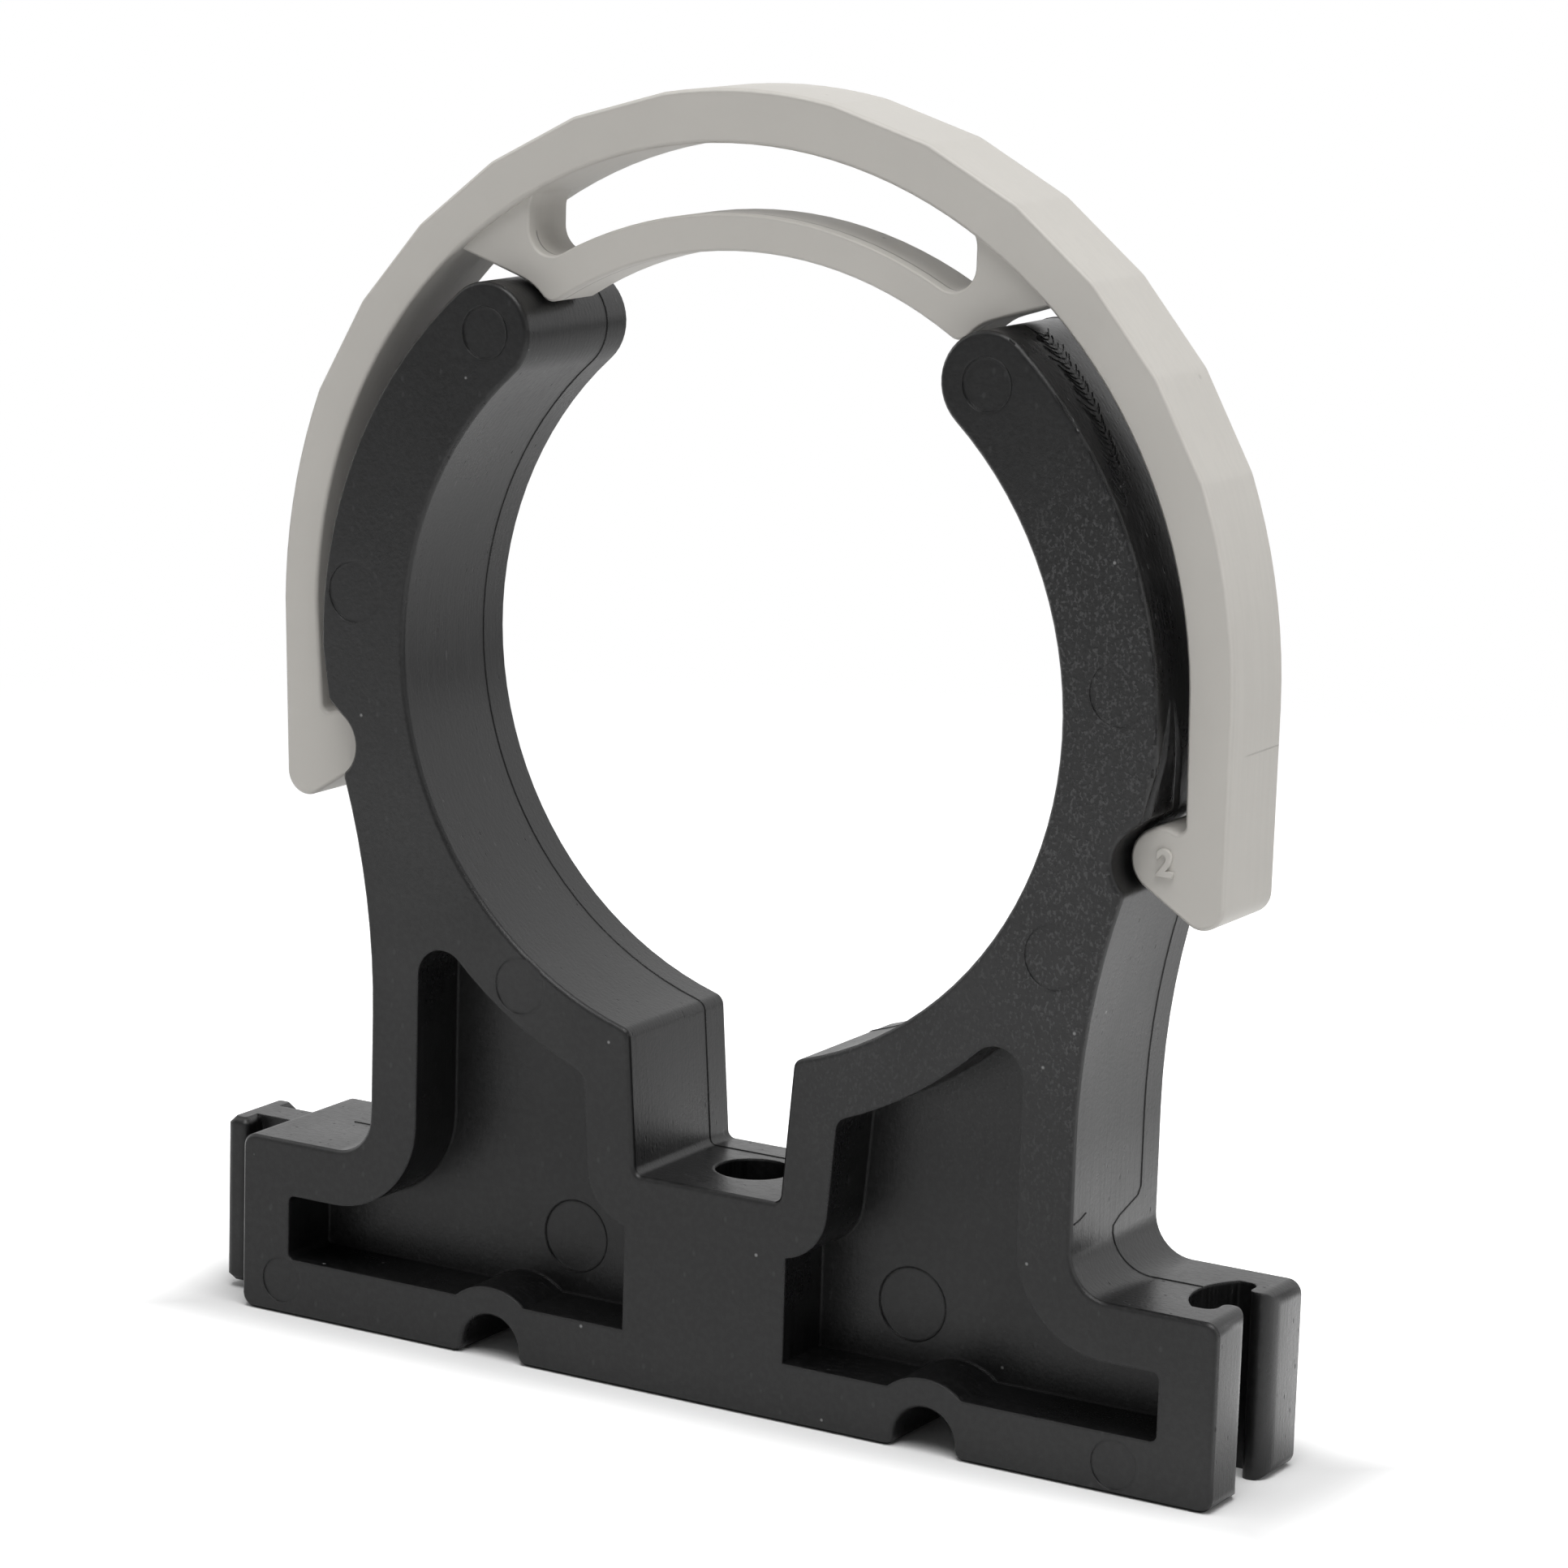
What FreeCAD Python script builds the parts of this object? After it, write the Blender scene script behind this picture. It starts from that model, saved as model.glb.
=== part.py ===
import FreeCAD, Part
import math
import os

# A moulded pipe clip for a 63 mm plastic pipe: a springy C-shaped body on a foot, and a
# retaining strap that hooks into a notch on each side and presses on both arm ends.
# X runs across the pipe, Y along the pipe, +Z up from the wall or rail it is screwed to.
# The origin is the centre of the screw hole on the mounting face. Millimetres.

V = FreeCAD.Vector

# Pipe seat and arms
BORE_R = 31.2            # a little under the pipe's 31.5, so that the arms grip
BORE_Z = 61.0            # pipe axis above the mounting face
ARM_WALL = 8.45
TIP_ANGLE = 48.4         # the rounded arm ends, in degrees above the horizontal
DEPTH = 15.4             # of the body, along the pipe
EDGE = 0.35              # bevel round the front and back faces

# Hook notches in the outside of the arms
ROLLER_R = 2.7           # the round bar inside each strap hook
ROLLER_GAP = 0.36        # round the bar in its notch
ROLLER_INSET = 0.5       # bar axis, in from the arm's outer radius
ROLLER_DROP = 9.85       # bar axis, below the pipe axis
LAND_DROP = 1.4          # where the straight land leaves the arm's curve, below the pipe axis
LIP_INSET = 0.7          # upper lip, in from the arm's outer radius
LIP_RISE = 3.85          # upper lip, above the bar axis
LIP_R = 0.7
LOWER_LIP_INSET = 1.85   # lower lip, in from the bar axis
LOWER_LIP_DROP = 2.45    # lower lip, below the bar axis
LOWER_LIP_R = 0.6
NOTCH_END = 218.0        # lower end of the notch curve, degrees about the bar axis
RELIEF_HEIGHT = 6.0      # planed corners on the front and back of each upper lip
RELIEF_WIDTH = 2.0
RELIEF_DEPTH = 0.5
RELIEF_RUN_ON = 0.3      # share of its height that the cutter runs on below the lip

# Legs and foot
LEG_INSET = 5.7          # outside of the leg, in from the arm's outer radius
LEG_BEND_Z = 28.0        # the leg is upright below this height and flares above it
FOOT_HALF = 47.3
FOOT_H = 15.65
FOOT_FILLET = 3.5
FOOT_CORNER_R = 1.2

# Screw slot and hole
SLOT_HALF = 7.0          # half width at the slot's floor
SLOT_FLOOR = 18.6
SLOT_SLOPE = 0.077       # outward lean of each slot wall, width for height
SLOT_LIP_R = 1.0
SLOT_FLOOR_R = 0.7
HOLE_R = 3.3             # clearance for an M6 screw

# Pockets in both faces, left as walls of nearly one thickness round a central web
WEB = 3.3
WALL = 4.85              # beside the leg and under the foot's top
SEAT_WALL = 5.4          # under the pipe seat
SLOT_WALL = 4.6          # beside and under the screw slot
FLOOR_WALL = 5.07
END_WALL = 5.0
BOSS_HALF = 7.8          # the solid column round the screw
POCKET_TOP_R = 2.45
POCKET_KNEE_R = 1.3
POCKET_CORNER_R = 0.6

# Half-round cross grooves in the mounting face, with a hump over each in the pockets
GROOVE_X = 21.2
GROOVE_R = 2.8
GROOVE_Z = 1.0
GROOVE_MOUTH_R = 0.9
HUMP_WALL = 2.55

# Couplings that join clips side by side: a T rail at -X and a socket at +X
LIP_T = 2.2              # thickness of the socket's two lips
NECK_HALF = 2.1
NECK_INNER_R = 0.6
SOCKET_HEAD_HALF = 4.3
SOCKET_HEAD_L = 3.6
SOCKET_BULGE = 1.7       # the oval end of the socket
SOCKET_CORNER_R = 1.0
SOCKET_WALL = 1.0        # round the socket, inside the pockets
RAIL_SIDE_GAP = 0.45     # rail to socket, sideways
RAIL_NECK_GAP = 0.1      # rail neck longer than the lips are thick
RAIL_END_GAP = 1.2       # rail head to socket end
RAIL_FOOT_Z = 0.6        # lower end of the rail
RAIL_TOP_DROP = 0.1      # rail top below the foot's top
RAIL_CORNER_R = 0.8
RAIL_END = 0.6           # bevel on the rail's head, above and below

# Round ejector marks on the front face, and on the webs inside the front pockets
MARK_DEPTH = 0.1
TIP_MARK_R = 2.13
FACE_MARKS = [(-36.2, 64.5, 2.6), (36.2, 64.5, 2.6), (-18.8, 33.0, 2.4), (31.5, 42.9, 2.7),
              (-42.96, 3.06, 2.0), (38.6, 2.5, 2.05)]
WEB_MARK_X = 16.5
WEB_MARK_Z = 10.25
WEB_MARK_R = 3.1

# Retaining strap: the band
STRAP_FRONT = -5.2       # band's front face; the body's own is at -DEPTH / 2
STRAP_BACK = 3.7
STRAP_GAP = 1.7          # band to arm, sideways
STRAP_T = 4.15           # band thickness at the shoulders
STRAP_EDGE = 0.35        # bevel round the band's faces
STRAP_LEAN = 0.2         # the strap sits a little askew, in degrees, its crown towards -X
INNER_LIFT = 2.0         # centre of the band's inner curve above the pipe axis
INNER_SHIFT = 0.45       # and towards -X: the band has sprung a little to that side
OUTER_LIFT = 1.9         # centre of the faceted outside above the pipe axis
OUTER_SHIFT = 0.25       # and towards -X
CROWN_RISE = 0.35        # extra thickness at the crown
FACET_FIRST = 23.5       # lowest facet corner, degrees above the horizontal
FACET_STEP = 11.3
FACET_CORNERS = 6
FACET_R = 3.0            # each facet corner is a little rounded
LEG_T = 3.75             # thickness of the strap's straight legs
HOOK_DROP = 6.73         # sharp point of the hook's heel, below the bar axis
HOOK_INSET = 0.35        # and in from the leg's outside
CROTCH_INSET = 0.25      # foot of the leg's inside on the round bar, in from the band's inside
HEEL_R = 2.0
CROTCH_R = 0.6           # between the round bar and the leg

# Retaining strap: the bridge that presses on the arm ends
BRIDGE_FRONT = -4.4
BRIDGE_BACK = 1.4
BRIDGE_INSET = 0.72      # its underside, inside the circle through the arm ends' centres
BRIDGE_T = 3.0
BRIDGE_EDGE = 0.25
TIP_GAP = 0.45           # to the arm ends
SADDLE_END = 108.0       # where the saddle over the arm end turns straight, degrees about it
SADDLE_RUN = 7.0         # straight run from there into the band
VALLEY_R = 1.3
WINDOW_REACH = 1.5       # window end, past the lowest point of the bridge
WINDOW_CORNER_R = 2.1
WINDOW_BITE = 0.1        # how far the window's head lies behind the band's inside

# Worked out from the sizes above
ARM_R = BORE_R + ARM_WALL
TIP_PITCH_R = BORE_R + ARM_WALL / 2
TIP_X = TIP_PITCH_R * math.cos(math.radians(TIP_ANGLE))
TIP_Z = BORE_Z + TIP_PITCH_R * math.sin(math.radians(TIP_ANGLE))
ROLLER_X = ARM_R - ROLLER_INSET
ROLLER_Z = BORE_Z - ROLLER_DROP
NOTCH_R = ROLLER_R + ROLLER_GAP
BRIDGE_R = TIP_PITCH_R - BRIDGE_INSET
LEG_X = ARM_R - LEG_INSET
FRONT = -DEPTH / 2
BACK = DEPTH / 2
PAST = 2.0               # how far a cutter runs past what it cuts
NEAR = 0.01              # places closer than this are one place


def on_circle(centre, radius, degrees):
    """The place on a circle in the X-Z plane."""
    turn = math.radians(degrees)
    return (centre[0] + radius * math.cos(turn), centre[1] + radius * math.sin(turn))


def height_on_circle(centre, radius, x):
    """How far a circle stands above and below its centre at x."""
    return math.sqrt(radius ** 2 - (x - centre[0]) ** 2)


def width_on_circle(centre, radius, z):
    """How far a circle reaches to each side of its centre at height z."""
    return math.sqrt(radius ** 2 - (z - centre[1]) ** 2)


def tangent_degrees(centre, radius, place, side):
    """Direction of the point where a line from place touches a circle, on one side of it."""
    dx = place[0] - centre[0]
    dz = place[1] - centre[1]
    half = math.acos(radius / math.hypot(dx, dz))
    return math.degrees(math.atan2(dz, dx) + side * half)


def centre_of_upright_arc(start, end):
    """Centre of the arc that leaves start upright and passes through end."""
    dx = end[0] - start[0]
    dz = end[1] - start[1]
    return (start[0] + (dx ** 2 + dz ** 2) / (2 * dx), start[1])


class Outline:
    """A closed outline of lines and arcs, drawn in X and Z or, as a plan, in X and Y."""

    def __init__(self, start, plan=False):
        self.start = start
        self.last = start
        self.plan = plan
        self.edges = []

    def place(self, point):
        if self.plan:
            return V(point[0], point[1], 0)
        return V(point[0], 0, point[1])

    def line(self, end):
        self.edges.append(Part.LineSegment(self.place(self.last), self.place(end)).toShape())
        self.last = end

    def arc_via(self, middle, end):
        curve = Part.Arc(self.place(self.last), self.place(middle), self.place(end))
        self.edges.append(curve.toShape())
        self.last = end

    def arc_about(self, centre, end):
        """The shorter arc about a centre."""
        dx = self.last[0] + end[0] - 2 * centre[0]
        dz = self.last[1] + end[1] - 2 * centre[1]
        radius = math.hypot(end[0] - centre[0], end[1] - centre[1])
        scale = radius / math.hypot(dx, dz)
        self.arc_via((centre[0] + dx * scale, centre[1] + dz * scale), end)

    def solid(self, low, high):
        """The outline run from low to high, along Y or, for a plan, along Z."""
        self.line(self.start)
        face = Part.Face(Part.Wire(self.edges))
        if self.plan:
            face.translate(V(0, 0, low))
            return face.extrude(V(0, 0, high - low))
        face.translate(V(0, low, 0))
        return face.extrude(V(0, high - low, 0))


def round_along(shape, corners, axis="y"):
    """Rounds the edges along one axis that pass through each place: (place, radius)."""
    for place, radius in corners:
        edges = []
        for edge in shape.Edges:
            ends = [vertex.Point for vertex in edge.Vertexes]
            if axis == "y":
                off = [math.hypot(p.x - place[0], p.z - place[1]) for p in ends]
            else:
                off = [math.hypot(p.x - place[0], p.y - place[1]) for p in ends]
            if len(ends) == 2 and max(off) < NEAR:
                edges.append(edge)
        shape = shape.makeFillet(radius, edges)
    return shape


def bevel_face(shape, y, size):
    """Bevels every edge that lies in the upright plane at y."""
    edges = []
    for edge in shape.Edges:
        box = edge.BoundBox
        if abs(box.YMin - y) < NEAR and abs(box.YMax - y) < NEAR:
            edges.append(edge)
    return shape.makeChamfer(size, edges)


def mirrored_x(shape):
    return shape.mirror(V(0, 0, 0), V(1, 0, 0))


def mirrored_y(shape):
    return shape.mirror(V(0, 0, 0), V(0, 1, 0))


def both_sides(shape):
    """A half and its mirror image as one solid."""
    return shape.fuse(mirrored_x(shape)).removeSplitter()


def slot_wall_place(z, offset=0.0):
    """The right slot wall at a height, or a line parallel to it further out."""
    return (SLOT_HALF + SLOT_SLOPE * (z - SLOT_FLOOR) + offset * math.hypot(1, SLOT_SLOPE), z)


def slot_line_meets_circle(radius, offset=0.0):
    """Where the slot wall, or a line parallel to it, meets a circle about the pipe axis."""
    foot = slot_wall_place(BORE_Z, offset)[0]
    a = 1 + SLOT_SLOPE ** 2
    b = 2 * foot * SLOT_SLOPE
    c = foot ** 2 - radius ** 2
    below = (-b - math.sqrt(b ** 2 - 4 * a * c)) / (2 * a)
    return slot_wall_place(BORE_Z + below, offset)


def body_block():
    """The body's whole outline, without pockets or couplings."""
    bore = (0, BORE_Z)
    tip = (TIP_X, TIP_Z)
    roller = (ROLLER_X, ROLLER_Z)
    slot_top = slot_line_meets_circle(BORE_R)
    land_top = (width_on_circle(bore, ARM_R, BORE_Z - LAND_DROP), BORE_Z - LAND_DROP)
    lip = (ARM_R - LIP_INSET, ROLLER_Z + LIP_RISE)
    notch_top = on_circle(roller, NOTCH_R, tangent_degrees(roller, NOTCH_R, lip, 1))
    notch_end = on_circle(roller, NOTCH_R, NOTCH_END)
    lower_lip = (ROLLER_X - LOWER_LIP_INSET, ROLLER_Z - LOWER_LIP_DROP)
    leg_bend = (LEG_X, LEG_BEND_Z)
    groove_left = GROOVE_X - GROOVE_R
    groove_right = GROOVE_X + GROOVE_R

    half = Outline((0, SLOT_FLOOR))
    half.line((SLOT_HALF, SLOT_FLOOR))
    half.line(slot_top)
    half.arc_via((BORE_R, BORE_Z), on_circle(bore, BORE_R, TIP_ANGLE))
    half.arc_via(on_circle(tip, ARM_WALL / 2, TIP_ANGLE + 90), on_circle(bore, ARM_R, TIP_ANGLE))
    half.arc_about(bore, land_top)
    half.line(lip)
    half.line(notch_top)
    half.arc_about(roller, notch_end)
    half.line(lower_lip)
    half.arc_about(centre_of_upright_arc(leg_bend, lower_lip), leg_bend)
    half.line((LEG_X, FOOT_H))
    half.line((FOOT_HALF, FOOT_H))
    half.line((FOOT_HALF, 0))
    half.line((groove_right, 0))
    half.line((groove_right, GROOVE_Z))
    half.arc_via((GROOVE_X, GROOVE_Z + GROOVE_R), (groove_left, GROOVE_Z))
    half.line((groove_left, 0))
    half.line((0, 0))
    block = half.solid(FRONT, BACK)
    block = round_along(block, [
        ((SLOT_HALF, SLOT_FLOOR), SLOT_FLOOR_R),
        (slot_top, SLOT_LIP_R),
        (lip, LIP_R),
        (lower_lip, LOWER_LIP_R),
        ((LEG_X, FOOT_H), FOOT_FILLET),
        ((FOOT_HALF, FOOT_H), FOOT_CORNER_R),
        ((FOOT_HALF, 0), FOOT_CORNER_R),
        ((groove_right, 0), GROOVE_MOUTH_R),
        ((groove_left, 0), GROOVE_MOUTH_R),
    ])
    block = both_sides(block)
    block = bevel_face(block, FRONT, EDGE)
    return bevel_face(block, BACK, EDGE)


def pocket():
    """The right front pocket, as the solid that is cut away."""
    bore = (0, BORE_Z)
    groove = (GROOVE_X, GROOVE_Z)
    slot_corner = (SLOT_HALF, SLOT_FLOOR)
    fillet_centre = (LEG_X + FOOT_FILLET, FOOT_H + FOOT_FILLET)
    fillet_r = FOOT_FILLET + WALL
    leg_side = LEG_X - WALL
    foot_top = FOOT_H - WALL
    end = FOOT_HALF - END_WALL
    hump_r = GROOVE_R + HUMP_WALL
    hump_half = width_on_circle(groove, hump_r, FLOOR_WALL)
    seat_r = BORE_R + SEAT_WALL
    top_x = leg_side - POCKET_TOP_R
    top = (top_x, BORE_Z - height_on_circle(bore, seat_r + POCKET_TOP_R, top_x))
    top_degrees = math.degrees(math.atan2(top[1] - BORE_Z, top[0]))
    knee = slot_line_meets_circle(seat_r, SLOT_WALL)
    wall_lean = math.degrees(math.atan(SLOT_SLOPE))
    under_slot = SLOT_FLOOR - height_on_circle(slot_corner, SLOT_WALL, BOSS_HALF)

    shape = Outline((BOSS_HALF, FLOOR_WALL))
    shape.line((GROOVE_X - hump_half, FLOOR_WALL))
    shape.arc_via((GROOVE_X, GROOVE_Z + hump_r), (GROOVE_X + hump_half, FLOOR_WALL))
    shape.line((end, FLOOR_WALL))
    shape.line((end, foot_top))
    shape.line((fillet_centre[0], foot_top))
    shape.arc_about(fillet_centre, (leg_side, fillet_centre[1]))
    shape.line((leg_side, top[1]))
    shape.arc_via(on_circle(top, POCKET_TOP_R, 90), on_circle(bore, seat_r, top_degrees))
    shape.arc_about(bore, knee)
    shape.line(on_circle(slot_corner, SLOT_WALL, -wall_lean))
    shape.arc_about(slot_corner, (BOSS_HALF, under_slot))
    cut = shape.solid(FRONT - PAST, -WEB / 2)
    return round_along(cut, [
        (knee, POCKET_KNEE_R),
        ((end, FLOOR_WALL), POCKET_CORNER_R),
        ((end, foot_top), POCKET_CORNER_R),
    ])


def socket_plan(wall=0.0):
    """Plan of the socket's head, or of the wall round it."""
    mouth = FOOT_HALF - LIP_T + wall
    side = SOCKET_HEAD_HALF + wall
    oval = FOOT_HALF - LIP_T - SOCKET_HEAD_L - wall
    plan = Outline((mouth, side), plan=True)
    plan.line((oval + SOCKET_BULGE, side))
    plan.arc_via((oval, 0), (oval + SOCKET_BULGE, -side))
    plan.line((mouth, -side))
    return plan


def socket_cut():
    """The socket for a neighbour's rail, open at the end face."""
    mouth = FOOT_HALF - LIP_T
    flare_r = LIP_T - NECK_INNER_R
    head = socket_plan().solid(-PAST, FOOT_H + PAST)
    head = round_along(head, [
        ((mouth, SOCKET_HEAD_HALF), SOCKET_CORNER_R),
        ((mouth, -SOCKET_HEAD_HALF), SOCKET_CORNER_R),
    ], axis="z")
    lips = []
    for side in (1, -1):
        neck = side * NECK_HALF
        flare = side * (NECK_HALF + flare_r)
        inner = side * (NECK_HALF + NECK_INNER_R)
        lip = Outline((mouth - NECK_INNER_R, 0), plan=True)
        lip.line((mouth - NECK_INNER_R, inner))
        lip.line((mouth, inner))
        lip.arc_about((mouth + NECK_INNER_R, inner), (mouth + NECK_INNER_R, neck))
        lip.arc_about((mouth + NECK_INNER_R, flare), (FOOT_HALF, flare))
        lip.line((FOOT_HALF + PAST, flare))
        lip.line((FOOT_HALF + PAST, 0))
        lips.append(lip.solid(-PAST, FOOT_H + PAST))
    return head.fuse(lips)


def rail():
    """The T rail that slides into a neighbour's socket."""
    neck = NECK_HALF - RAIL_SIDE_GAP
    head = SOCKET_HEAD_HALF - RAIL_SIDE_GAP
    root = -FOOT_HALF + PAST
    neck_end = -FOOT_HALF - LIP_T - RAIL_NECK_GAP
    head_end = -FOOT_HALF - LIP_T - SOCKET_HEAD_L + RAIL_END_GAP
    plan = Outline((root, neck), plan=True)
    plan.line((neck_end, neck))
    plan.line((neck_end, head))
    plan.line((head_end, head))
    plan.line((head_end, -head))
    plan.line((neck_end, -head))
    plan.line((neck_end, -neck))
    plan.line((root, -neck))
    bar = plan.solid(RAIL_FOOT_Z, FOOT_H - RAIL_TOP_DROP)
    bar = round_along(bar, [
        ((neck_end, head), RAIL_CORNER_R),
        ((neck_end, -head), RAIL_CORNER_R),
        ((head_end, head), RAIL_CORNER_R),
        ((head_end, -head), RAIL_CORNER_R),
    ], axis="z")
    ends = []
    for edge in bar.Edges:
        box = edge.BoundBox
        if box.ZLength < NEAR and box.XMax < neck_end + PAST and box.XMin < neck_end + NEAR:
            ends.append(edge)
    return bar.makeChamfer(RAIL_END, ends)


def lip_relief():
    """The planed front corner of the right upper lip, as a four-sided cutter."""
    lip_z = ROLLER_Z + LIP_RISE - LIP_R
    lip_x = ARM_R - LIP_INSET
    apex = V(ARM_R, FRONT, lip_z + RELIEF_HEIGHT)
    deep = V(lip_x - RELIEF_DEPTH, FRONT, lip_z)
    wide = V(lip_x, FRONT + RELIEF_WIDTH, lip_z)
    out = V(ARM_R + PAST, FRONT - PAST, lip_z - PAST)
    low_deep = deep + (deep - apex) * RELIEF_RUN_ON
    low_wide = wide + (wide - apex) * RELIEF_RUN_ON
    faces = []
    for corners in ((apex, low_deep, low_wide), (apex, low_wide, out),
                    (apex, out, low_deep), (low_deep, out, low_wide)):
        faces.append(Part.Face(Part.makePolygon(list(corners) + [corners[0]])))
    return Part.Solid(Part.Shell(faces))


def clip_body():
    body = body_block()
    front_pocket = pocket()
    back_pocket = mirrored_y(front_pocket)
    pockets = [front_pocket, back_pocket, mirrored_x(front_pocket), mirrored_x(back_pocket)]
    body = body.cut(pockets)
    body = body.fuse([socket_plan(SOCKET_WALL).solid(FLOOR_WALL - NEAR, FOOT_H - WALL + NEAR),
                      rail()])
    relief = lip_relief()
    back_relief = mirrored_y(relief)
    cuts = [Part.makeCylinder(HOLE_R, SLOT_FLOOR + 2 * PAST, V(0, 0, -PAST)), socket_cut(),
            relief, back_relief, mirrored_x(relief), mirrored_x(back_relief)]
    marks = [(side * TIP_X, TIP_Z, TIP_MARK_R, FRONT) for side in (-1, 1)]
    marks += [(x, z, r, FRONT) for x, z, r in FACE_MARKS]
    marks += [(side * WEB_MARK_X, WEB_MARK_Z, WEB_MARK_R, -WEB / 2) for side in (-1, 1)]
    for x, z, r, face in marks:
        cuts.append(Part.makeCylinder(r, 2 * MARK_DEPTH, V(x, face - MARK_DEPTH, z), V(0, 1, 0)))
    return body.cut(cuts).removeSplitter()


def band_half(side):
    """Half of the strap's band with its hook, drawn at the right; side is -1 for the left."""
    outer_centre = (-side * OUTER_SHIFT, BORE_Z + OUTER_LIFT)
    inner_centre = (-side * INNER_SHIFT, BORE_Z + INNER_LIFT)
    inner_r = ARM_R + STRAP_GAP
    roller = (ROLLER_X, ROLLER_Z)
    leg_out = inner_r + LEG_T
    heel = (leg_out - HOOK_INSET, ROLLER_Z - HOOK_DROP)
    under = on_circle(roller, ROLLER_R, tangent_degrees(roller, ROLLER_R, heel, -1))
    join_x = inner_r - CROTCH_INSET
    join = (join_x, ROLLER_Z + height_on_circle(roller, ROLLER_R, join_x))
    corners = []
    for index in reversed(range(FACET_CORNERS)):
        degrees = FACET_FIRST + index * FACET_STEP
        bulge = CROWN_RISE * math.sin(math.radians(degrees)) ** 6
        corners.append(on_circle(outer_centre, inner_r + STRAP_T + bulge, degrees))
    shoulder = (outer_centre[0] + leg_out, outer_centre[1])
    crown = (outer_centre[0], outer_centre[1] + inner_r + STRAP_T + CROWN_RISE)
    reach = corners[0][0] - crown[0]
    sag = crown[1] - corners[0][1]
    crown_curve_r = (reach ** 2 + sag ** 2) / (2 * sag)
    crown_centre = (crown[0], crown[1] - crown_curve_r)

    half = Outline((0, crown_centre[1] + height_on_circle(crown_centre, crown_curve_r, 0)))
    half.arc_about(crown_centre, corners[0])
    for corner in corners[1:]:
        half.line(corner)
    half.arc_about(centre_of_upright_arc(shoulder, corners[-1]), shoulder)
    half.line(heel)
    half.line(under)
    half.arc_via(on_circle(roller, ROLLER_R, 180), join)
    half.line((inner_centre[0] + inner_r, inner_centre[1]))
    inner_top = inner_centre[1] + height_on_circle(inner_centre, inner_r, 0)
    half.arc_about(inner_centre, (0, inner_top))
    shape = half.solid(STRAP_FRONT, STRAP_BACK)
    shape = round_along(shape, [(heel, HEEL_R), (join, CROTCH_R)])
    return round_along(shape, [(corner, FACET_R) for corner in corners])


def band():
    """The strap's band with a hook at each end."""
    shape = band_half(1).fuse(mirrored_x(band_half(-1))).removeSplitter()
    shape = bevel_face(shape, STRAP_FRONT, STRAP_EDGE)
    return bevel_face(shape, STRAP_BACK, STRAP_EDGE)


def bridge():
    """The arch under the band, with its window, that bears on both arm ends."""
    bore = (0, BORE_Z)
    tip = (TIP_X, TIP_Z)
    saddle_r = ARM_WALL / 2 + TIP_GAP
    inner_r = ARM_R + STRAP_GAP
    inside_band = inner_r + STRAP_T / 2
    reach = (BRIDGE_R ** 2 - TIP_PITCH_R ** 2 - saddle_r ** 2) / (2 * TIP_PITCH_R * saddle_r)
    valley = on_circle(tip, saddle_r, TIP_ANGLE + math.degrees(math.acos(reach)))
    saddle_end = on_circle(tip, saddle_r, SADDLE_END)
    run_end = on_circle(saddle_end, SADDLE_RUN, SADDLE_END - 90)
    band_centre = (0, BORE_Z + INNER_LIFT)
    run_top = (run_end[0], band_centre[1] + height_on_circle(band_centre, inside_band, run_end[0]))

    half = Outline((0, BORE_Z + BRIDGE_R))
    half.arc_about(bore, valley)
    half.arc_about(tip, saddle_end)
    half.line(run_end)
    half.line(run_top)
    half.arc_about(band_centre, (0, band_centre[1] + inside_band))
    web = round_along(half.solid(BRIDGE_FRONT, BRIDGE_BACK), [(valley, VALLEY_R)])
    web = both_sides(web)

    floor_r = BRIDGE_R + BRIDGE_T
    head_r = inner_r + WINDOW_BITE
    window_half = valley[0] + WINDOW_REACH
    sill = (window_half, BORE_Z + height_on_circle(bore, floor_r, window_half))
    head = (window_half, band_centre[1] + height_on_circle(band_centre, head_r, window_half))
    window = Outline((0, BORE_Z + floor_r))
    window.arc_about(bore, sill)
    window.line(head)
    window.arc_about(band_centre, (0, band_centre[1] + head_r))
    opening = window.solid(BRIDGE_FRONT - PAST, BRIDGE_BACK + PAST)
    opening = both_sides(round_along(opening, [(sill, WINDOW_CORNER_R), (head, WINDOW_CORNER_R)]))
    opening.translate(V(-INNER_SHIFT, 0, 0))
    web = web.cut(opening)
    web = bevel_face(web, BRIDGE_FRONT, BRIDGE_EDGE)
    return bevel_face(web, BRIDGE_BACK, BRIDGE_EDGE)


def retaining_strap():
    strap = band().fuse(bridge()).removeSplitter()
    strap.rotate(V(0, 0, ROLLER_Z), V(0, 1, 0), -STRAP_LEAN)
    return strap


PIECES = {"clip_body": clip_body, "retaining_strap": retaining_strap}

os.makedirs("parts", exist_ok=True)
for name, make in PIECES.items():
    shape = make()
    solid = shape.Solids[0]
    print(name, "solids", len(shape.Solids), "valid", solid.isValid(), "mm3", round(solid.Volume))
    solid.exportStep(os.path.join("parts", name + ".step"))
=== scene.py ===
import math
import random

import bmesh
import bpy
from mathutils import Matrix, Vector


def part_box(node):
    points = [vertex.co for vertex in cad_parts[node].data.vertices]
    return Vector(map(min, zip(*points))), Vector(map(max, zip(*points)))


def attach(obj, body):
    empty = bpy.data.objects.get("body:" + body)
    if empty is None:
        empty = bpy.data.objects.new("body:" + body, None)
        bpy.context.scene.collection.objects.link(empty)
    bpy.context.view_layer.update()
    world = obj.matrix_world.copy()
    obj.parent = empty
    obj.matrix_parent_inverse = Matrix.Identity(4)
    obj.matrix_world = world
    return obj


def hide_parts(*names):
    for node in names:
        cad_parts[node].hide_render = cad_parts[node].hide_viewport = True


# A moulded clip for a 63 mm plastic pipe: a near-black body on a foot, and a warm grey
# retaining strap hooked over its arms. Metres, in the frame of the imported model.

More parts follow.
